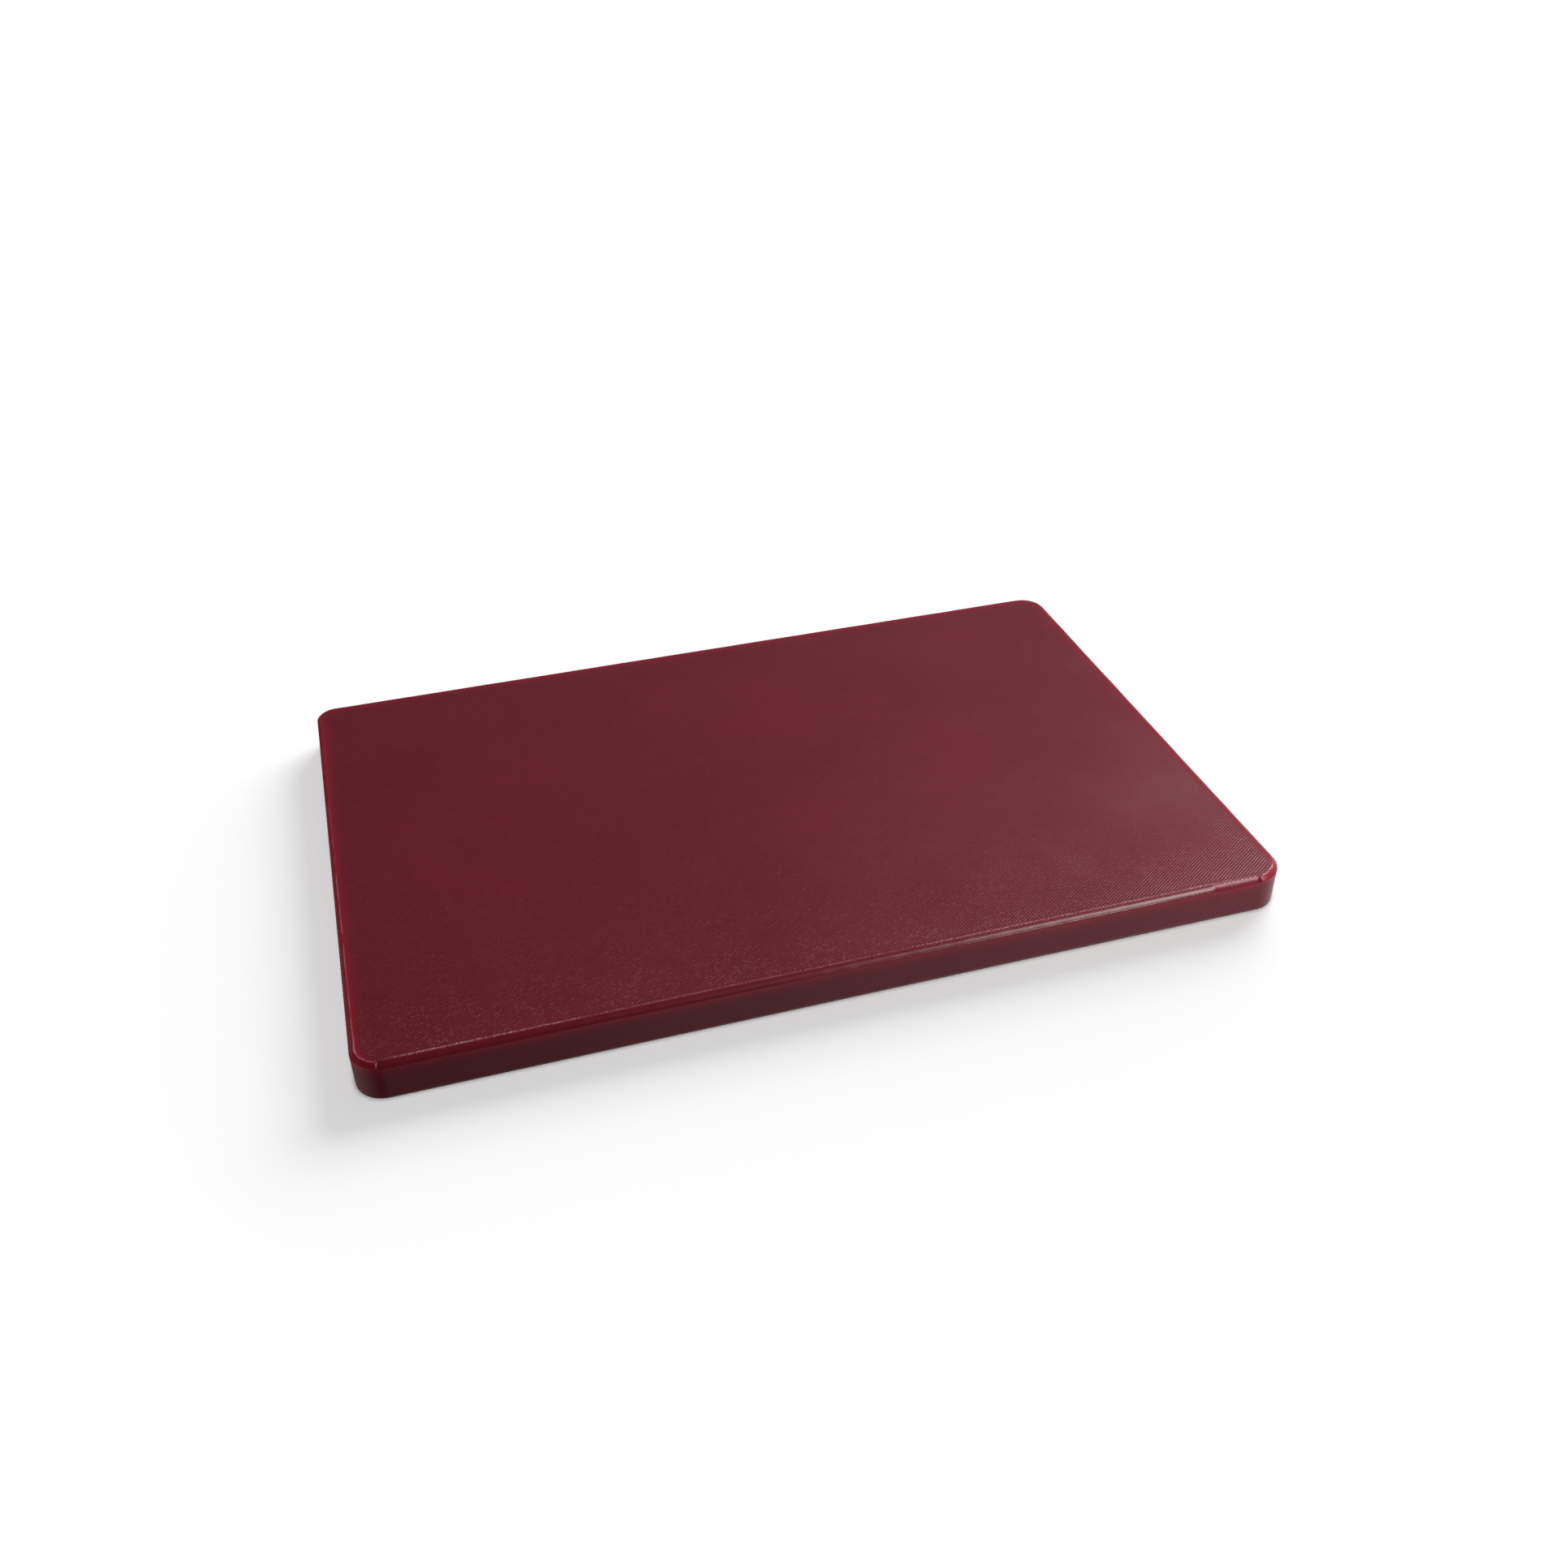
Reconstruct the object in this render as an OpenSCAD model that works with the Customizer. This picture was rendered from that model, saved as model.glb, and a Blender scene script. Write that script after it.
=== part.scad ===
// Commercial cutting board: one solid slab of moulded polyethylene.
//
// The upright corners are rounded by hand, so their radii differ. The top edge is
// chamfered all round, the front top edge has a deeper scraped chamfer with rounded
// run-ins, and the bottom edge is lightly broken. Nothing is fitted to the slab, so
// it is a single part.
//
// Units are millimetres. The origin is the middle of the bottom face, +X runs along
// the length, +Z is up, and the scraped front edge faces -Y.

/* [Slab] */
// Length of the board, along X
board_length = 450; // [200:5:600]
// Depth of the board, along Y
board_depth = 300; // [150:5:450]
// Thickness of the board, along Z
board_thickness = 20; // [12:0.5:40]

/* [Corners] */
// Radius of the upright corner at the front left
front_left_radius = 14; // [5:0.5:30]
// Radius of the upright corner at the front right
front_right_radius = 16; // [5:0.5:30]
// Radius of the upright corner at the back right
back_right_radius = 13; // [5:0.5:30]
// Radius of the upright corner at the back left
back_left_radius = 10; // [5:0.5:30]

/* [Edges] */
// Leg of the 45 degree chamfer round the top edge
top_chamfer = 2; // [0.5:0.1:4]
// Leg of the 45 degree break round the bottom edge
bottom_break = 1; // [0.2:0.1:3]

/* [Scraped front edge] */
// Leg of the scraped chamfer along most of the front edge
scrape_leg = 2.6; // [2.2:0.1:4]
// Leg of the lighter scrape that finishes the right-hand end
scrape_end_leg = 2.3; // [2.1:0.1:4]
// Gap from the left side to the start of the scrape
scrape_left_gap = 9; // [6:0.5:40]
// Gap from the right side to the end of the scrape
scrape_right_gap = 15; // [6:0.5:40]
// Length of the lighter scrape at the right-hand end
scrape_end_length = 25; // [10:1:60]
// Radius of the blade's run-in at each end of a scrape
run_in_radius = 3; // [2:0.5:6]

/* [Hidden] */

BURGUNDY = [0.38, 0.13, 0.17];
ROUND_FN = 96;

half_length = board_length / 2;
half_depth = board_depth / 2;

// Each corner: which way it lies from the middle, and its radius.
corners = [
    [[-1, -1], front_left_radius],
    [[1, -1], front_right_radius],
    [[1, 1], back_right_radius],
    [[-1, 1], back_left_radius]
];

scrape_from = scrape_left_gap - half_length;
scrape_to = half_length - scrape_right_gap;
scrape_step = scrape_to - scrape_end_length;
blade_height = 5;

// Half of the slab's section, from its middle out to a chamfered side.
function half_section(reach) = [
    [0, 0],
    [reach - bottom_break, 0],
    [reach, bottom_break],
    [reach, board_thickness - top_chamfer],
    [reach - top_chamfer, board_thickness],
    [0, board_thickness]
];

// One rounded corner, standing on its own axis.
module corner_post(radius) {
    rotate_extrude($fn = ROUND_FN)
        polygon(half_section(radius));
}

// Half of the slab, from its middle out to the side that faces -Y, between two
// places along X. Its outer edges are chamfered.
module half_bar(reach, from_x, to_x) {
    translate([from_x, 0, 0])
        rotate([90, 0, 90])
            linear_extrude(to_x - from_x)
                mirror([1, 0])
                    polygon(half_section(reach));
}

// The whole slab: a bar to each side that stops where the corners start, and a
// round post at each corner.
module slab() {
    half_bar(half_depth, front_left_radius - half_length, half_length - front_right_radius);
    rotate(90)
        half_bar(half_length, front_right_radius - half_depth, half_depth - back_right_radius);
    rotate(180)
        half_bar(half_depth, back_right_radius - half_length, half_length - back_left_radius);
    rotate(270)
        half_bar(half_length, back_left_radius - half_depth, half_depth - front_left_radius);
    for (corner = corners) {
        way = corner[0];
        radius = corner[1];
        translate([way.x * (half_length - radius), way.y * (half_depth - radius), 0])
            corner_post(radius);
    }
}

// What a blade takes off the front top edge between two places along X. Its flat
// side lies on the 45 degree plane of a chamfer with the given leg.
module scrape(from_x, to_x, leg) {
    translate([0, leg / 2 - half_depth, board_thickness - leg / 2])
        rotate([45, 0, 0])
            linear_extrude(blade_height) {
                translate([from_x + run_in_radius, -run_in_radius])
                    square([to_x - from_x - 2 * run_in_radius, 2 * run_in_radius]);
                for (x = [from_x + run_in_radius, to_x - run_in_radius])
                    translate([x, 0])
                        circle(run_in_radius, $fn = ROUND_FN);
            }
}

module board() {
    color(BURGUNDY)
        difference() {
            slab();
            scrape(scrape_from, scrape_step, scrape_leg);
            scrape(scrape_step - 2 * run_in_radius, scrape_to, scrape_end_leg);
        }
}

board();
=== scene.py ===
"""Cutting board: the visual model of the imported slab, and a plain white studio.

The slab is one closed mesh. Its upper face carries the relief of the press cloth, thread by thread,
and its edges carry the chamfers that were scraped and planed by hand. Lengths here are in
millimetres until a mesh is written, and in metres from then on.
"""
import math

import bpy
import numpy as np
from mathutils import Matrix, Vector


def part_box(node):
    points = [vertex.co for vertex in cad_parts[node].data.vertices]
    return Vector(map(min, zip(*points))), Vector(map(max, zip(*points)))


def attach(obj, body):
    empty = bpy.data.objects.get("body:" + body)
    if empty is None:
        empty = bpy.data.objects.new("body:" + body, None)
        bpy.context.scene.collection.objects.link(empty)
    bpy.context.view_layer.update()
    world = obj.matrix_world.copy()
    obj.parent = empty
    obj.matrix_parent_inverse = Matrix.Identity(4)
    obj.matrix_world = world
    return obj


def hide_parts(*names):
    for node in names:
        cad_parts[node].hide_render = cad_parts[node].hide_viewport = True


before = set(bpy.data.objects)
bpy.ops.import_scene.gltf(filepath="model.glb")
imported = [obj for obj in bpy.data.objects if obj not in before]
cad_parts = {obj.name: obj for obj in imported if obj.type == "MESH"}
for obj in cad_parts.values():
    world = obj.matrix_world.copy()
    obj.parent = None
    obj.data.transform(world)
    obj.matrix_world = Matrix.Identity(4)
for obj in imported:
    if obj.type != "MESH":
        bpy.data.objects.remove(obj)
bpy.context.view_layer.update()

MM = 0.001
SEED = 11

# The slab, in millimetres, from the CAD node.
SLAB_LOW, SLAB_HIGH = (Vector(corner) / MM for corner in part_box("board"))
HALF_LENGTH = (SLAB_HIGH.x - SLAB_LOW.x) / 2
HALF_DEPTH = (SLAB_HIGH.y - SLAB_LOW.y) / 2
THICKNESS = SLAB_HIGH.z - SLAB_LOW.z

# The upright corners, anticlockwise from the front left: which way each lies, and its radius.
CORNERS = ((-1, -1, 14.0), (1, -1, 16.0), (1, 1, 13.0), (-1, 1, 10.0))

# Plain-weave press cloth: threads cross once per pitch. The relief swings about the face level, and its
# knuckles stay the face drop below the CAD's upper face.
THREAD_PITCH_X = 1.176
THREAD_PITCH_Y = 0.790
SAMPLES_PER_THREAD = 2
WEAVE_DEPTH = 0.30
FACE_DROP = 0.02
FACE_LEVEL = THICKNESS - FACE_DROP - WEAVE_DEPTH / 2

# Edges. The border is the strip of the upper face between the lattice and the outline.
BOTTOM_BREAK = 1.0
BORDER = 5.0
BORDER_GAP = 0.25
STATION_STEP = 0.4
SIDE_INSET = 0.04
USUAL_LEG = 2.3
GLOW_REACH = 2.2
SCRAPE_FROM_X = 9.0 - HALF_LENGTH
SCRAPE_STEP_X = HALF_LENGTH - 40.0
SCRAPE_TO_X = HALF_LENGTH - 15.0
SCRAPE_LEG = 2.6
SCRAPE_END_LEG = 2.3
SCRAPE_OVERLAP = 6.0
RUN_IN = 2.5
TORN_HEIGHT = 0.14
DOT_HEIGHT = 0.04

# The plain underside.
UNDERSIDE_STEP = 6.0
UNDERSIDE_RIM = 2.0
UNDERSIDE_GAP = 1.0


def smoothstep(low, high, value):
    """0 below low, 1 above high, and a smooth rise between them."""
    t = np.clip((value - low) / (high - low), 0.0, 1.0)
    return t * t * (3.0 - 2.0 * t)


def mix(a, b, share):
    return a + (b - a) * share


class Waves:
    """Smooth, repeatable unevenness: a sum of sine waves in seeded directions, from about -1 to 1."""

    def __init__(self, seed, longest, count=7, ratio=0.72):
        draw = np.random.default_rng(seed)
        angle = draw.uniform(0, math.tau, count)
        length = longest * ratio ** np.arange(count)
        self.kx = np.cos(angle) * math.tau / length
        self.ky = np.sin(angle) * math.tau / length
        self.phase = draw.uniform(0, math.tau, count)
        self.weight = ratio ** (0.5 * np.arange(count))
        self.weight /= self.weight.sum() * 0.6

    def __call__(self, x, y=0.0):
        total = np.zeros(np.broadcast(x, y).shape)
        for kx, ky, phase, weight in zip(self.kx, self.ky, self.phase, self.weight):
            total += weight * np.sin(kx * x + ky * y + phase)
        return total


# ---------------------------------------------------------------- outline and edges

def outline():
    """Stations round the slab, anticlockwise from the left end of the front edge.

    Each station is a point of the outline, and the unit way out from it.
    """
    place, out = [], []
    for side in range(4):
        angle = math.radians(90 * side - 90)
        away = np.array([math.cos(angle), math.sin(angle)])
        (start, radius), (end, next_radius) = corner(side), corner((side + 1) % 4)
        first, last = start + radius * away, end + next_radius * away
        count = round(math.dist(first, last) / STATION_STEP)
        for i in range(count):
            place.append(mix(first, last, i / count))
            out.append(away)
        count = round(next_radius * math.pi / 2 / STATION_STEP)
        for i in range(count):
            turn = angle + math.pi / 2 * i / count
            out.append(np.array([math.cos(turn), math.sin(turn)]))
            place.append(end + next_radius * out[-1])
    return np.array(place), np.array(out)


def corner(number):
    """The axis and the radius of an upright corner."""
    way_x, way_y, radius = CORNERS[number]
    return np.array([way_x * (HALF_LENGTH - radius), way_y * (HALF_DEPTH - radius)]), radius


EDGE, OUT = outline()
STATIONS = len(EDGE)
FRONT = smoothstep(0.9, 0.999, -OUT[:, 1])
BACK = smoothstep(0.9, 0.999, OUT[:, 1])
RIGHT = smoothstep(0.9, 0.999, OUT[:, 0])
LEFT = smoothstep(0.9, 0.999, -OUT[:, 0])
CORNER = 1 - FRONT - BACK - RIGHT - LEFT


def inset(amount):
    """The outline moved inwards by an amount, which may differ from station to station."""
    return EDGE - np.broadcast_to(amount, STATIONS)[:, None] * OUT


def between(value, start, end, run_in):
    """1 between start and end, falling to 0 over the run-in at each end."""
    return smoothstep(start, start + run_in, value) * (1 - smoothstep(end - run_in, end, value))


def soften(values, reach):
    """A running mean round the outline."""
    width = 2 * reach + 1
    wrapped = np.concatenate([values[-reach:], values, values[:reach]])
    return np.convolve(wrapped, np.ones(width) / width, mode="valid")


def edge_legs():
    """At every station: the chamfer's leg, how far it is scraped, and how far the lighter pass goes."""
    x, y = EDGE.T
    toward_back = (y + HALF_DEPTH) / (2 * HALF_DEPTH)
    toward_right = (x + HALF_LENGTH) / (2 * HALF_LENGTH)
    planed = LEFT * mix(2.5, 1.6, toward_back) + RIGHT * mix(2.6, 2.2, toward_back)
    planed += BACK * 1.6 + FRONT * 1.9
    planed += CORNER * mix(2.2, 1.9, toward_back) * mix(0.95, 1.25, toward_right)
    planed = soften(planed, 12)
    planed += 0.10 * Waves(SEED + 1, 60)(x, y) * (1 - FRONT)
    front = (OUT[:, 1] < -0.97) * 1.0
    long_pass = between(x, SCRAPE_FROM_X, SCRAPE_STEP_X, RUN_IN) * front
    end_pass = between(x, SCRAPE_STEP_X - SCRAPE_OVERLAP, SCRAPE_TO_X, RUN_IN) * front
    scraped = np.maximum(long_pass, end_pass)
    depth = mix(SCRAPE_LEG, SCRAPE_END_LEG, smoothstep(SCRAPE_STEP_X - 3.0, SCRAPE_STEP_X + 1.0, x))
    depth = depth + 0.07 * Waves(SEED + 2, 60)(x)
    return mix(planed, depth, scraped), scraped, end_pass * (1 - long_pass)


LEG, SCRAPED, LIGHT_PASS = edge_legs()
# The lighter pass was steeper and less polished than the long one.
CHAMFER_DROP = LEG * (1 + 0.3 * LIGHT_PASS)
POLISHED = SCRAPED * (1 - 0.6 * LIGHT_PASS)


def side_distance(x, y):
    """How far a point of a face is inside the left, right, front and back sides."""
    return x + HALF_LENGTH, HALF_LENGTH - x, y + HALF_DEPTH, HALF_DEPTH - y


def outline_depth(x, y):
    """How far a point is inside the rounded outline."""
    front_left, front_right, back_right, back_left = (radius for _, _, radius in CORNERS)
    front = np.where(x < 0, front_left, front_right)
    back = np.where(x < 0, back_left, back_right)
    radius = np.where(y < 0, front, back)
    dx = np.abs(x) - (HALF_LENGTH - radius)
    dy = np.abs(y) - (HALF_DEPTH - radius)
    outside = np.hypot(np.maximum(dx, 0), np.maximum(dy, 0))
    return radius - outside - np.minimum(np.maximum(dx, dy), 0)


# ---------------------------------------------------------------- press-cloth relief

drift_x = Waves(SEED + 4, 70)
drift_y = Waves(SEED + 5, 55)
strength = Waves(SEED + 6, 90)


def cloth(x, y):
    """Relief of the cloth, from -1 in the pits to 1 on the knuckles."""
    u = math.pi * (x + 0.16 * drift_x(x, y)) / THREAD_PITCH_X
    v = math.pi * (y + 0.12 * drift_y(x, y)) / THREAD_PITCH_Y
    knuckles = np.cos(u) * np.cos(v)
    threads = np.cos(2 * u)
    return 0.8 * knuckles + 0.2 * threads


def cloth_fade(x, y):
    """How deeply the cloth pressed in: less along the planed sides, and more by the front edge."""
    left, right, front, back = side_distance(x, y)
    field = smoothstep(2.5, 8.0, left) * smoothstep(3.0, 7.5, right) * smoothstep(2.0, 6.5, back)
    pressed = 0.82 + 0.08 * strength(x, y) + 0.28 * np.exp(-front / 16)
    pressed -= 0.40 * smoothstep(90, 200, x) * np.exp(-front / 45)
    return mix(0.2, 1.0, field) * pressed


def face_height(x, y):
    """Height of the upper face."""
    relief = WEAVE_DEPTH / 2 * cloth_fade(x, y) * cloth(x, y)
    return FACE_LEVEL + np.minimum(relief, WEAVE_DEPTH / 2)


def face_normals(x, y):
    """Normals of the upper face, from the slopes of its relief."""
    reach = 0.02
    slope_x = (face_height(x + reach, y) - face_height(x - reach, y)) / (2 * reach)
    slope_y = (face_height(x, y + reach) - face_height(x, y - reach)) / (2 * reach)
    normals = np.column_stack([-slope_x, -slope_y, np.ones(len(x))])
    return normals / np.linalg.norm(normals, axis=1)[:, None]


# ---------------------------------------------------------------- mesh pieces

def lattice(step_x, step_y, margin):
    """A grid of points inside the outline moved in by margin: points, cells and the boundary loop."""
    reach_x = int((HALF_LENGTH - margin) / step_x)
    reach_y = int((HALF_DEPTH - margin) / step_y)
    x = np.arange(-reach_x, reach_x + 1) * step_x
    y = np.arange(-reach_y, reach_y + 1) * step_y
    grid_x, grid_y = np.meshgrid(x, y, indexing="ij")
    inside = outline_depth(grid_x, grid_y) > margin
    cell = inside[:-1, :-1] & inside[1:, :-1] & inside[1:, 1:] & inside[:-1, 1:]
    used = np.zeros_like(inside)
    for shift_x in (0, 1):
        for shift_y in (0, 1):
            used[shift_x:len(x) - 1 + shift_x, shift_y:len(y) - 1 + shift_y] |= cell
    index = np.full(used.shape, -1)
    index[used] = np.arange(used.sum())
    i, j = np.nonzero(cell)
    cells = np.stack([index[i, j], index[i + 1, j], index[i + 1, j + 1], index[i, j + 1]], axis=1)
    points = np.stack([grid_x[used], grid_y[used]], axis=1)
    return points, cells, boundary(cells)


def boundary(cells):
    """The loop of points round a patch of cells, anticlockwise."""
    edges = np.concatenate([cells[:, [k, (k + 1) % 4]] for k in range(4)])
    size = cells.max() + 1
    forward = edges[:, 0] * size + edges[:, 1]
    backward = edges[:, 1] * size + edges[:, 0]
    rim = edges[~np.isin(forward, backward)]
    following = dict(rim.tolist())
    loop = [int(rim[0, 0])]
    while following[loop[-1]] != loop[0]:
        loop.append(following[loop[-1]])
    return np.array(loop)


def zip_loops(points, inner, outer):
    """Triangles between two anticlockwise loops of point numbers, the outer one outside."""
    first = np.argmin(np.hypot(*(points[inner] - points[outer[0]]).T))
    inner = np.roll(inner, -first)
    inner_loop = np.append(inner, inner[0]).tolist()
    outer_loop = np.append(outer, outer[0]).tolist()
    place = points.tolist()
    triangles = []
    i = j = 0
    while i < len(inner) or j < len(outer):
        here_in, here_out = inner_loop[i], outer_loop[j]
        step_in = math.dist(place[inner_loop[i + 1]], place[here_out]) if i < len(inner) else math.inf
        step_out = math.dist(place[outer_loop[j + 1]], place[here_in]) if j < len(outer) else math.inf
        if step_out <= step_in:
            j += 1
            triangles.append((here_in, here_out, outer_loop[j]))
        else:
            i += 1
            triangles.append((here_in, here_out, inner_loop[i]))
    return np.array(triangles)


def ring_quads(first_ring, rings):
    """Quads between neighbouring rings of stations, each ring further out or down than the last."""
    start = first_ring + np.arange(rings - 1)[:, None] * STATIONS
    here = np.arange(STATIONS)[None, :]
    there = (here + 1) % STATIONS
    quads = [start + here, start + STATIONS + here, start + STATIONS + there, start + there]
    return np.stack(quads, axis=-1).reshape(-1, 4)


BORDER_SHARES = (0.0, 0.2, 0.38, 0.53, 0.65, 0.75, 0.83, 0.9, 0.95, 1.0)
WOVEN_RINGS = 5
CHAMFER_SHARES = (0.06, 0.16, 0.3, 0.45, 0.6, 0.74, 0.84, 0.885, 0.93, 0.975, 1.0)
SIDE_SHARES = (0.02, 0.06, 0.12, 0.2, 0.3, 0.42, 0.56, 0.7, 0.84, 0.94, 1.0)


def torn_lip(from_edge, draw):
    """Where the blade tore the plastic up into pale grains, beside the scraped front edge."""
    x = EDGE[:, 0]
    along = between(x, -214, -120, 14) + 0.45 * between(x, -130, 30, 20) + 0.8 * between(x, 15, 214, 30)
    across = np.exp(-((from_edge - 0.75) / 0.5) ** 2)
    grains = smoothstep(0.35, 0.95, draw.uniform(0, 1, STATIONS))
    return SCRAPED * np.clip(along, 0, 1) * across * grains


def cut_knuckle_glints(from_edge):
    """A painted highlight: the row of bright dots where the left chamfer cuts through the knuckles of the
    cloth.
    """
    x, y = EDGE.T
    row = np.cos(math.pi * y / THREAD_PITCH_Y + 0.6 * Waves(SEED + 8, 30)(y))
    patchy = smoothstep(-0.5, 0.3, Waves(SEED + 9, 80)(y)) * mix(1.0, 0.4, smoothstep(-60, 120, y))
    return LEFT * smoothstep(0.1, 0.7, row) * patchy * np.exp(-((from_edge - 0.1) / 0.25) ** 2)


def frayed_corner(from_edge, draw):
    """The pale thread and crumbs that the blade left round the front left corner."""
    x, y = EDGE.T
    near = smoothstep(-190, -212, x) * smoothstep(-122, -140, y) * (1 - SCRAPED)
    line = 0.25 + 0.35 * Waves(SEED + 13, 9)(x, y)
    crumbs = smoothstep(0.2, 0.7, draw.uniform(0, 1, STATIONS))
    return near * np.exp(-((from_edge - line) / 0.22) ** 2) * crumbs


def knuckle_glints(x, y):
    """Painted glints: pale tops of single knuckles, most beside the front edge, and only a few further in.
    """
    draw = np.random.default_rng(SEED + 14).uniform(0, 1, len(x))
    front = y + HALF_DEPTH
    patchy = np.clip(0.75 + 0.45 * Waves(SEED + 15, 45)(x, y), 0.2, 1.0)
    many = 0.85 * np.exp(-front / 48) * patchy * draw ** 3
    few = 0.30 * smoothstep(0.996, 1.0, draw)
    return smoothstep(0.5, 1.0, cloth(x, y)) * (many + few)


def border_rings():
    """Rings on the upper face, from the lattice to the chamfer: place, height, distance in, and the share of
    pale torn plastic and painted glints.
    """
    draw = np.random.default_rng(SEED + 7)
    rings = []
    for share in BORDER_SHARES:
        amount = mix(BORDER, LEG, share)
        place = inset(amount)
        from_edge = amount - LEG
        torn_and_glint = torn_lip(from_edge, draw)
        # The dots are painted highlights on the cut knuckles, and pale crumbs round the frayed corner.
        dots = cut_knuckle_glints(from_edge) + frayed_corner(from_edge, draw)
        z = face_height(*place.T) + TORN_HEIGHT * torn_and_glint + DOT_HEIGHT * dots
        rings.append((place, np.minimum(z, THICKNESS), from_edge, np.clip(torn_and_glint + 0.9 * dots, 0, 1)))
    return rings


def chamfer_rings():
    """Rings down the chamfer, from its upper edge to its lower one. It is slightly domed."""
    x, y = EDGE.T
    bulge = mix(0.10, 0.20, SCRAPED)
    bead_depth = 0.07 * SCRAPED * between(x, -60, SCRAPE_STEP_X, 60)
    chatter = 0.10 * LEFT * np.abs(np.sin(math.pi * y / 3.1 + 0.8 * Waves(SEED + 10, 40)(y)))
    lower_z = THICKNESS - CHAMFER_DROP
    rings = []
    for share in CHAMFER_SHARES:
        dome = bulge * math.sin(math.pi * share) + bead_depth * math.exp(-((share - 0.93) / 0.035) ** 2)
        wobble = 0.012 * Waves(SEED + 11, 50)(x + 3 * share, y) * math.sin(math.pi * share)
        lift = (dome + wobble) * math.sqrt(0.5)
        amount = LEG * (1 - share) - lift + chatter * smoothstep(0.5, 1.0, share)
        rings.append((inset(np.maximum(amount, 0)), mix(FACE_LEVEL, lower_z, share) + lift))
    return rings


def side_rings():
    """Rings down the sawn side, with a nick below the end of the long pass, and round the bottom edge."""
    x, y = EDGE.T
    saw = Waves(SEED + 12, 120)
    nick = 0.12 * FRONT * np.exp(-((x - SCRAPE_STEP_X) / 0.4) ** 2)
    rings = []
    top = THICKNESS - CHAMFER_DROP
    for share in SIDE_SHARES:
        amount = SIDE_INSET + 0.04 * saw(x, y + 40 * share) + nick * (1 - smoothstep(0.1, 0.6, share))
        rings.append((inset(np.maximum(amount, 0)), mix(top, BOTTOM_BREAK, share)))
    for turn in (18, 36, 54, 72, 90):
        angle = math.radians(turn)
        amount = SIDE_INSET + BOTTOM_BREAK * (1 - math.cos(angle))
        rings.append((inset(amount), np.full(STATIONS, BOTTOM_BREAK * (1 - math.sin(angle)))))
    rings.append((inset(BOTTOM_BREAK + UNDERSIDE_RIM), np.zeros(STATIONS)))
    return rings


def painted_face_glow(from_edge, x, y):
    """Painted glow: brighter colour that stands in for light that the upper face passes on from the planed
    edge beside it.
    """
    left, right, _, back = side_distance(x, y)
    nearest = np.minimum(np.minimum(left, right), back)
    return np.exp(-np.maximum(from_edge, 0) / GLOW_REACH) * smoothstep(11.0, 4.5, nearest)


def point_values(top_points, border, sides, bottom_count):
    """What the material needs at every point: its share of painted edge glow, of pale torn plastic and
    painted glints, and of polish.
    """
    plain = np.zeros(STATIONS)
    torn_and_glint = [border_torn_and_glint for _, _, _, border_torn_and_glint in border]
    torn_and_glint += [border[-1][3] * max(0.0, 1 - share / 0.12) for share in CHAMFER_SHARES] + [plain] * len(sides)
    glow = [painted_face_glow(from_edge, *place.T) for place, _, from_edge, _ in border]
    # Painted glow on the chamfers, faint where they are polished.
    glow += [mix(mix(1.0, 0.75, share), 0.08, POLISHED) for share in CHAMFER_SHARES]
    # Painted glow down the sawn sides, fading below the chamfer.
    below_chamfer = [THICKNESS - CHAMFER_DROP - z for _, z in sides]
    glow += [np.minimum(1.0, 1.4 * np.exp(-depth / GLOW_REACH)) for depth in below_chamfer]
    polished = [plain] * len(border) + [POLISHED] * len(CHAMFER_SHARES) + [plain] * len(sides)
    on_face = {
        "painted_edge_glow": painted_face_glow(outline_depth(*top_points.T) - USUAL_LEG, *top_points.T),
        "torn_and_glint": knuckle_glints(*top_points.T),
        "polished": np.zeros(len(top_points)),
    }
    values = {}
    for label, per_ring in (("painted_edge_glow", glow), ("torn_and_glint", torn_and_glint), ("polished", polished)):
        values[label] = np.concatenate([on_face[label], *per_ring, np.zeros(bottom_count)])
    return values


def build_slab():
    """The whole slab as one closed mesh, with what its material needs stored on the points."""
    step_x = THREAD_PITCH_X / SAMPLES_PER_THREAD
    step_y = THREAD_PITCH_Y / SAMPLES_PER_THREAD
    top_points, top_cells, top_rim = lattice(step_x, step_y, BORDER + BORDER_GAP)
    underside_margin = BOTTOM_BREAK + UNDERSIDE_RIM + UNDERSIDE_GAP
    bottom_points, bottom_cells, bottom_rim = lattice(UNDERSIDE_STEP, UNDERSIDE_STEP, underside_margin)

    border = border_rings()
    sides = side_rings()
    rings = [(place, z) for place, z, _, _ in border] + chamfer_rings() + sides

    parts = [np.column_stack([top_points, face_height(*top_points.T)])]
    parts += [np.column_stack([place, z]) for place, z in rings]
    parts += [np.column_stack([bottom_points, np.zeros(len(bottom_points))])]
    points = np.concatenate(parts)

    first_ring = len(top_points)
    last_ring = first_ring + (len(rings) - 1) * STATIONS
    first_bottom = last_ring + STATIONS
    loop = np.arange(STATIONS)
    quads = [top_cells, ring_quads(first_ring, len(rings)), bottom_cells[:, ::-1] + first_bottom]
    top_zip = zip_loops(points[:, :2], top_rim, loop + first_ring)
    bottom_zip = zip_loops(points[:, :2], bottom_rim + first_bottom, loop + last_ring)
    triangles = [top_zip, bottom_zip[:, ::-1]]

    values = point_values(top_points, border, sides, len(bottom_points))
    slab = write_mesh("board_slab", points, np.concatenate(quads), np.concatenate(triangles), values)
    textured = points[:first_ring + WOVEN_RINGS * STATIONS]
    set_normals(slab.data, face_normals(textured[:, 0], textured[:, 1]))
    return slab


def set_normals(mesh, first_normals):
    """Give the first points of a mesh their exact normals. The others keep the mesh's own."""
    normals = np.empty(len(mesh.vertices) * 3, dtype=np.float32)
    mesh.vertex_normals.foreach_get("vector", normals)
    normals = normals.reshape(-1, 3)
    normals[:len(first_normals)] = first_normals
    mesh.normals_split_custom_set_from_vertices(normals)


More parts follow.
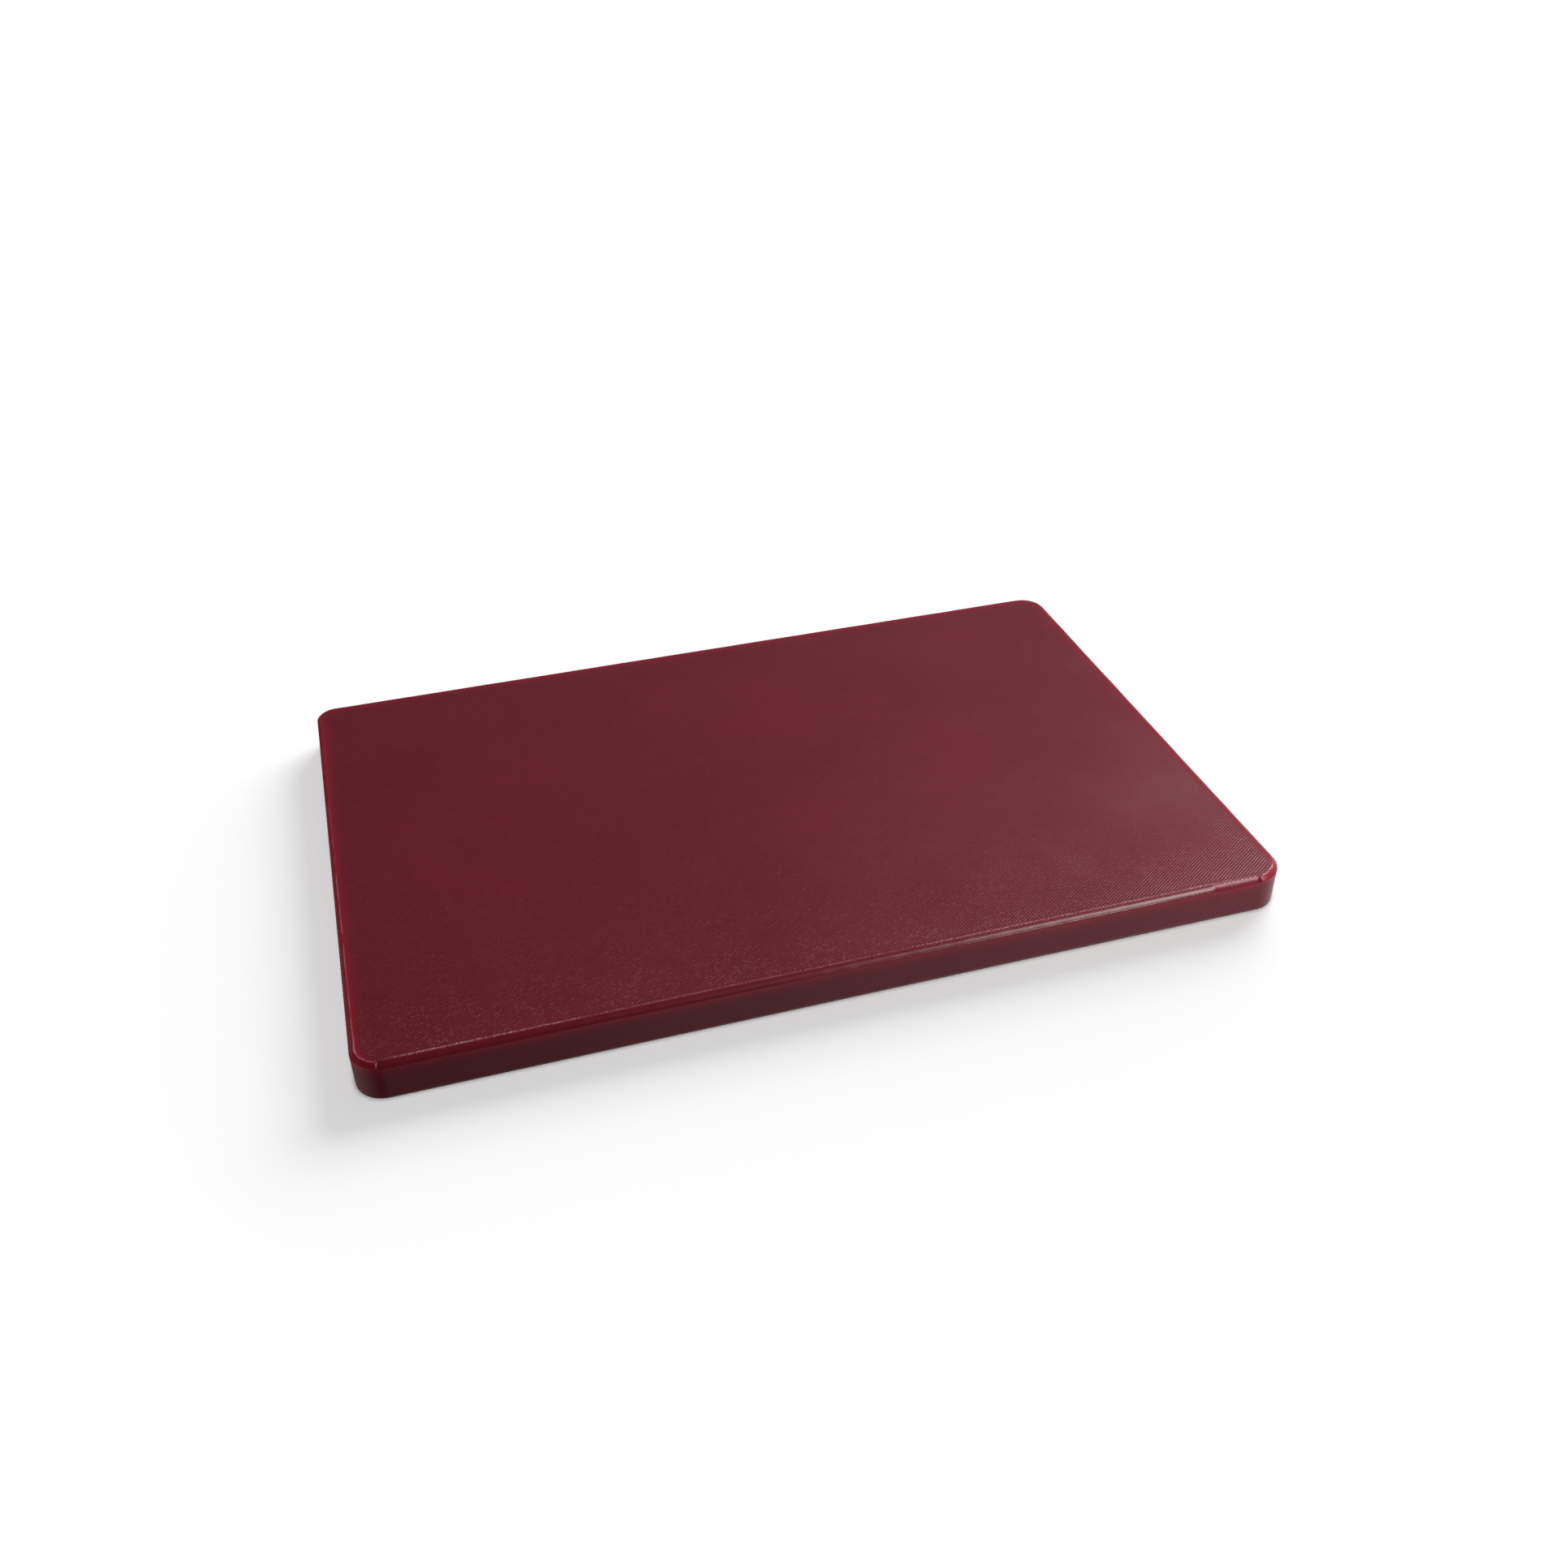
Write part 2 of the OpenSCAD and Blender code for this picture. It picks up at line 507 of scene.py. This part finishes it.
def write_mesh(name, points, quads, triangles, values):
    """An object from points in millimetres and arrays of faces, all smooth."""
    mesh = bpy.data.meshes.new(name)
    corners = np.concatenate([quads.ravel(), triangles.ravel()])
    starts = np.concatenate([
        np.arange(len(quads)) * 4,
        len(quads) * 4 + np.arange(len(triangles)) * 3,
    ])
    mesh.vertices.add(len(points))
    mesh.vertices.foreach_set("co", (points * MM).astype(np.float32).ravel())
    mesh.loops.add(len(corners))
    mesh.loops.foreach_set("vertex_index", corners.astype(np.int32))
    mesh.polygons.add(len(starts))
    mesh.polygons.foreach_set("loop_start", starts.astype(np.int32))
    mesh.update(calc_edges=True)
    mesh.validate()
    mesh.shade_smooth()
    for label, amounts in values.items():
        attribute = mesh.attributes.new(label, "FLOAT", "POINT")
        attribute.data.foreach_set("value", amounts.astype(np.float32))
    made = bpy.data.objects.new(name, mesh)
    bpy.context.collection.objects.link(made)
    return made


# ---------------------------------------------------------------- material

class Nodes:
    """A node tree, written as nested calls."""

    def __init__(self, tree):
        self.tree = tree
        tree.nodes.clear()

    def add(self, kind, **settings):
        node = self.tree.nodes.new(kind)
        for key, value in settings.items():
            setattr(node, key, value)
        return node

    def feed(self, socket, value):
        """Link a socket to another one, or give it a plain value."""
        if isinstance(value, bpy.types.NodeSocket):
            self.tree.links.new(value, socket)
        else:
            socket.default_value = value

    def math(self, operation, *values):
        node = self.add("ShaderNodeMath", operation=operation)
        for socket, value in zip(node.inputs, values):
            self.feed(socket, value)
        return node.outputs[0]

    def blend(self, share, a, b):
        node = self.add("ShaderNodeMix", data_type="RGBA")
        for socket, value in zip((node.inputs[0], node.inputs[6], node.inputs[7]), (share, a, b)):
            self.feed(socket, value)
        return node.outputs[2]

    def ramp(self, value, low, high, to_low=0.0, to_high=1.0):
        """A smooth rise from to_low to to_high while the value goes from low to high."""
        node = self.add("ShaderNodeMapRange", interpolation_type="SMOOTHSTEP")
        for socket, number in zip(node.inputs, (value, low, high, to_low, to_high)):
            self.feed(socket, number)
        return node.outputs[0]

    def stored(self, label):
        """A value that is stored on the mesh's points."""
        node = self.add("ShaderNodeAttribute", attribute_type="GEOMETRY", attribute_name=label)
        return node.outputs["Fac"]

    def noise(self, place, scale, detail, stretch=(1, 1, 1)):
        mapping = self.add("ShaderNodeMapping")
        self.feed(mapping.inputs["Scale"], stretch)
        self.feed(mapping.inputs["Vector"], place)
        node = self.add("ShaderNodeTexNoise")
        self.feed(node.inputs["Scale"], scale)
        self.feed(node.inputs["Detail"], detail)
        self.feed(node.inputs["Vector"], mapping.outputs["Vector"])
        return node.outputs["Fac"]


CORE_DARK = (0.098, 0.0042, 0.0108, 1)
CORE_LIGHT = (0.122, 0.0058, 0.0137, 1)
# Painted glow: a brighter red that stands in for light passing out through the thin edges.
PAINTED_EDGE_GLOW = (0.220, 0.0055, 0.0170, 1)
TORN_AND_GLINT = (0.46, 0.23, 0.25, 1)


def board_plastic():
    """Burgundy polyethylene: satin, with painted glow of light through its edges, pale where it tore, and
    with painted glints on knuckle tops and cut knuckles.
    """
    material = bpy.data.materials.new("board_plastic")
    material.use_nodes = True
    nodes = Nodes(material.node_tree)
    place = nodes.add("ShaderNodeTexCoord").outputs["Object"]

    cloudy = nodes.math("MULTIPLY_ADD", nodes.noise(place, 240.0, 4.0), 0.8, nodes.noise(place, 14.0, 3.0))
    core = nodes.blend(nodes.ramp(cloudy, 0.55, 1.25), CORE_DARK, CORE_LIGHT)
    # Painted glow: brighter red near the edges, standing in for light that passes through them.
    lit = nodes.blend(nodes.stored("painted_edge_glow"), core, PAINTED_EDGE_GLOW)
    # Pale where the plastic tore or frayed, and painted glints on knuckle tops and cut knuckles.
    colour = nodes.blend(nodes.stored("torn_and_glint"), lit, TORN_AND_GLINT)

    streaks = nodes.noise(place, 90.0, 3.0, (0.12, 0.12, 14))
    roughness = nodes.math("MULTIPLY_ADD", streaks, 0.08, 0.29)
    roughness = nodes.math("MULTIPLY_ADD", nodes.stored("polished"), -0.10, roughness)

    bump = nodes.add("ShaderNodeBump")
    nodes.feed(bump.inputs["Strength"], 0.25)
    nodes.feed(bump.inputs["Distance"], 0.00006)
    fine = nodes.noise(place, 2200.0, 2.0)
    nodes.feed(bump.inputs["Height"], nodes.math("MULTIPLY_ADD", streaks, 1.5, fine))

    surface = nodes.add("ShaderNodeBsdfPrincipled")
    nodes.feed(surface.inputs["IOR"], 1.5)
    nodes.feed(surface.inputs["Base Color"], colour)
    nodes.feed(surface.inputs["Roughness"], roughness)
    nodes.feed(surface.inputs["Normal"], bump.outputs["Normal"])
    out = nodes.add("ShaderNodeOutputMaterial")
    nodes.feed(out.inputs["Surface"], surface.outputs["BSDF"])
    return material


# ---------------------------------------------------------------- studio

def floor_paint():
    """White paint that glows further out, so that the floor fades into the white background."""
    material = bpy.data.materials.new("floor_paint")
    material.use_nodes = True
    nodes = Nodes(material.node_tree)
    place = nodes.add("ShaderNodeTexCoord").outputs["Object"]
    length = nodes.add("ShaderNodeVectorMath", operation="LENGTH")
    nodes.feed(length.inputs[0], place)
    paint = nodes.add("ShaderNodeBsdfDiffuse")
    nodes.feed(paint.inputs["Color"], (0.9, 0.9, 0.9, 1))
    glow = nodes.add("ShaderNodeEmission")
    nodes.feed(glow.inputs["Strength"], nodes.ramp(length.outputs["Value"], 0.32, 0.60))
    both = nodes.add("ShaderNodeAddShader")
    nodes.feed(both.inputs[0], paint.outputs["BSDF"])
    nodes.feed(both.inputs[1], glow.outputs["Emission"])
    out = nodes.add("ShaderNodeOutputMaterial")
    nodes.feed(out.inputs["Surface"], both.outputs["Shader"])
    material.cycles.emission_sampling = "NONE"
    return material


def white_floor():
    """A wide white floor. The light that it would throw back comes from the room instead."""
    size = 30.0
    mesh = bpy.data.meshes.new("floor")
    corners = [(-size, -size, 0), (size, -size, 0), (size, size, 0), (-size, size, 0)]
    mesh.from_pydata(corners, [], [(0, 1, 2, 3)])
    floor = bpy.data.objects.new("floor", mesh)
    bpy.context.collection.objects.link(floor)
    floor.data.materials.append(floor_paint())
    floor.visible_glossy = False
    floor.visible_diffuse = False
    floor.visible_shadow = False
    return floor


def studio_room():
    """White to the eye. It lights the board from behind and from below, mostly on the right."""
    world = bpy.data.worlds.new("room")
    world.use_nodes = True
    nodes = Nodes(world.node_tree)
    toward = nodes.add("ShaderNodeSeparateXYZ")
    nodes.feed(toward.inputs[0], nodes.add("ShaderNodeTexCoord").outputs["Generated"])
    x, y, z = toward.outputs

    wall = nodes.math("MULTIPLY", nodes.ramp(x, -0.3, 0.4, 0.05, 0.19), nodes.ramp(y, -0.4, 0.2))
    sideways = nodes.math("ADD", nodes.ramp(x, -0.3, 0.6, 0.0, 0.55), nodes.ramp(x, -0.35, -0.7, 0.0, 0.16))
    bounce = nodes.math("MULTIPLY", sideways, nodes.ramp(z, 0.05, -0.15))
    glow = nodes.math("ADD", nodes.math("ADD", wall, bounce), 0.03)
    seen = nodes.add("ShaderNodeLightPath").outputs["Is Camera Ray"]
    background = nodes.add("ShaderNodeBackground")
    nodes.feed(background.inputs["Color"], (1, 1, 1, 1))
    nodes.feed(background.inputs["Strength"], nodes.math("MAXIMUM", glow, nodes.math("MULTIPLY", seen, 1.1)))
    out = nodes.add("ShaderNodeOutputWorld")
    nodes.feed(out.inputs["Surface"], background.outputs[0])
    bpy.context.scene.world = world


def alone(thing):
    """A collection of one object, for the lights that shine on nothing else."""
    only = bpy.data.collections.new(thing.name + "_only")
    only.objects.link(thing)
    return only


def light(name, kind, place, strength, shows_in, lit):
    """A light that is itself unseen. It shows in the body colour, in the gloss, or in both."""
    data = bpy.data.lights.new(name, kind)
    data.energy = strength
    made = bpy.data.objects.new(name, data)
    made.location = place
    made.visible_camera = False
    made.visible_glossy = "gloss" in shows_in
    made.visible_diffuse = "body" in shows_in
    made.light_linking.receiver_collection = lit
    bpy.context.collection.objects.link(made)
    return made


def sun(name, toward, strength, spread, shows_in, lit):
    """A round light from far away, so many degrees wide."""
    made = light(name, "SUN", toward, strength, shows_in, lit)
    made.data.angle = math.radians(spread)
    made.rotation_mode = "QUATERNION"
    made.rotation_quaternion = Vector(toward).to_track_quat("Z", "Y")


def lamp(name, place, power, radius, shows_in, lit):
    """A round light near the board, in metres and watts."""
    light(name, "POINT", place, power, shows_in, lit).data.shadow_soft_size = radius


def camera():
    """The product shot: from the front left, looking down, turned slightly about its own axis."""
    azimuth, elevation, roll = (math.radians(turn) for turn in (-16.25, 34.94, -0.82))
    target = Vector((18.45, 24.85, 0.0)) * MM
    distance = 849.5 * MM
    back = Vector((
        math.sin(azimuth) * math.cos(elevation),
        -math.cos(azimuth) * math.cos(elevation),
        math.sin(elevation),
    ))
    level = (-back).cross(Vector((0, 0, 1))).normalized()
    upright = level.cross(-back)
    right = math.cos(roll) * level + math.sin(roll) * upright
    up = math.cos(roll) * upright - math.sin(roll) * level
    data = bpy.data.cameras.new("camera")
    data.sensor_width = 36.0
    data.lens = 35.13
    data.clip_start, data.clip_end = 0.01, 100.0
    made = bpy.data.objects.new("camera", data)
    turn = Matrix((right, up, back)).transposed().to_4x4()
    made.matrix_world = Matrix.Translation(target + back * distance) @ turn
    bpy.context.collection.objects.link(made)
    bpy.context.scene.camera = made


slab = build_slab()
slab.data.materials.append(board_plastic())
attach(slab, "root")
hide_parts("board")

floor = white_floor()
studio_room()
on_slab = alone(slab)
on_floor = alone(floor)
lamp("key", (1.62, 0.40, 1.25), 230.0, 0.05, ("body", "gloss"), on_slab)
lamp("fill", (0.42, -0.55, 0.12), 7.4, 0.10, ("body",), on_slab)
sun("side_sky", (-0.92, 0.02, 0.40), 1.7, 10, ("body",), on_slab)
sun("chamfer_gloss", (0.52, -0.56, 0.66), 1.1, 22, ("gloss",), on_slab)
sun("floor_even", (0, 0, 1), 2.05, 16, ("body",), on_floor)
sun("floor_key", (0.65, 0.65, 0.33), 3.5, 42, ("body",), on_floor)
camera()
bpy.context.scene.view_settings.view_transform = "Standard"
